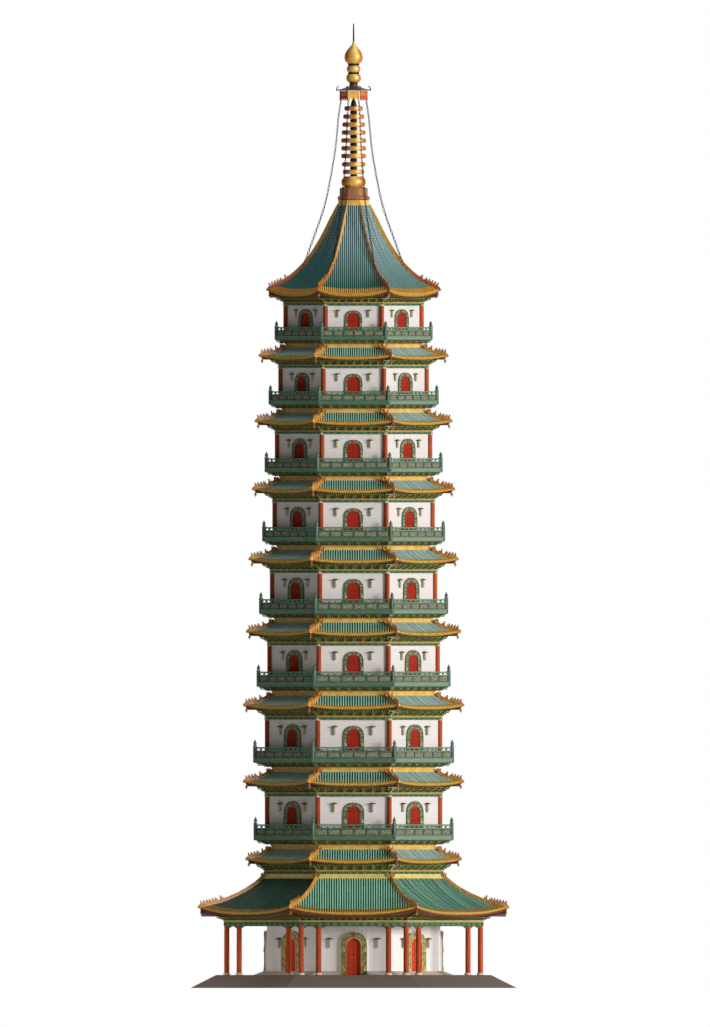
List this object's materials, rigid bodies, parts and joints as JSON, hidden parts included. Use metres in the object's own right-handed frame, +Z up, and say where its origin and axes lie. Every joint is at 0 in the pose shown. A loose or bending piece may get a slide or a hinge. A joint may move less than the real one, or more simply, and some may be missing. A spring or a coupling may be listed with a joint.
{
  "type": "nine-storey octagonal glazed-tile pagoda, 1:2 scale model",
  "caption": "Octagonal pagoda with stacked balconied storeys under upswept tiled roofs, a columned ground gallery, a pointed top roof and a ringed spire.",
  "frame": {"origin": "centre of the platform's underside, on the ground", "axes": "+Z up along the spire, the front doorway looks along -Y, +X to the right"},
  "size_m": [13.23, 13.23, 39.0663],
  "materials": {
    "stone_dark": "weathered dark grey stone",
    "stone_pale": "pale dressed stone",
    "white_tile": "white glazed tile walls",
    "green_tile": "green glazed roof tile with yellow eave and ridge tile",
    "red_timber": "red lacquered timber",
    "red_column": "red-orange painted timber",
    "green_rail": "green painted timber railing",
    "deck_timber": "green painted timber fascia and deck",
    "gilt": "gilt metal",
    "bronze": "brown patinated bronze",
    "iron": "black iron",
    "gold_tile": "gilt and red painted metal"
  },
  "bodies": {
    "tower": {"platform": "stone_dark", "plinth": "stone_pale", "ground_pier_right": "white_tile", "ground_pier_left": "white_tile", "ground_back_wall": "white_tile", "ground_upper_wall": "white_tile", "gallery_colonnade": "red_column", "great_skirt_roof": "green_tile", "storey_1_roof": "green_tile", "storey_2_floor": "deck_timber", "storey_2_wall": "white_tile", "storey_2_railing": "green_rail", "storey_2_roof": "green_tile", "storey_3_floor": "deck_timber", "storey_3_wall": "white_tile", "storey_3_railing": "green_rail", "storey_3_roof": "green_tile", "storey_4_floor": "deck_timber", "storey_4_wall": "white_tile", "storey_4_railing": "green_rail", "storey_4_roof": "green_tile", "storey_5_floor": "deck_timber", "storey_5_wall": "white_tile", "storey_5_railing": "green_rail", "storey_5_roof": "green_tile", "storey_6_floor": "deck_timber", "storey_6_wall": "white_tile", "storey_6_railing": "green_rail", "storey_6_roof": "green_tile", "storey_7_floor": "deck_timber", "storey_7_wall": "white_tile", "storey_7_railing": "green_rail", "storey_7_roof": "green_tile", "storey_8_floor": "deck_timber", "storey_8_wall": "white_tile", "storey_8_railing": "green_rail", "storey_8_roof": "green_tile", "storey_9_floor": "deck_timber", "storey_9_wall": "white_tile", "storey_9_railing": "green_rail", "storey_9_roof": "green_tile", "dew_basin": "bronze", "spire_rings": "gilt", "spire_canopy": "gold_tile", "spire_finial": "gilt", "spire_chains": "iron"},
    "door_front_leaf_right": {"door_front_leaf_right": "red_timber"},
    "door_front_leaf_left": {"door_front_leaf_left": "red_timber"},
    "door_right_leaf_right": {"door_right_leaf_right": "red_timber"},
    "door_right_leaf_left": {"door_right_leaf_left": "red_timber"},
    "door_left_leaf_right": {"door_left_leaf_right": "red_timber"},
    "door_left_leaf_left": {"door_left_leaf_left": "red_timber"}
  },
  "joints": [
    {"name": "door_front_leaf_right_hinge", "type": "hinge", "parent": "tower", "child": "door_front_leaf_right", "pos_m": [0.32, -3.46, 0.5365], "axis": [0, 0, -1], "range_deg": [0, 90]},
    {"name": "door_front_leaf_left_hinge", "type": "hinge", "parent": "tower", "child": "door_front_leaf_left", "pos_m": [-0.32, -3.46, 0.5365], "axis": [0, 0, 1], "range_deg": [0, 90]},
    {"name": "door_right_leaf_right_hinge", "type": "hinge", "parent": "tower", "child": "door_right_leaf_right", "pos_m": [2.67286, -2.22031, 0.6985], "axis": [0, 0, -1], "range_deg": [0, 90]},
    {"name": "door_right_leaf_left_hinge", "type": "hinge", "parent": "tower", "child": "door_right_leaf_left", "pos_m": [2.22031, -2.67286, 0.6985], "axis": [0, 0, 1], "range_deg": [0, 90]},
    {"name": "door_left_leaf_right_hinge", "type": "hinge", "parent": "tower", "child": "door_left_leaf_right", "pos_m": [-2.22031, -2.67286, 0.6985], "axis": [0, 0, -1], "range_deg": [0, 90]},
    {"name": "door_left_leaf_left_hinge", "type": "hinge", "parent": "tower", "child": "door_left_leaf_left", "pos_m": [-2.67286, -2.22031, 0.6985], "axis": [0, 0, 1], "range_deg": [0, 90]}
  ]
}
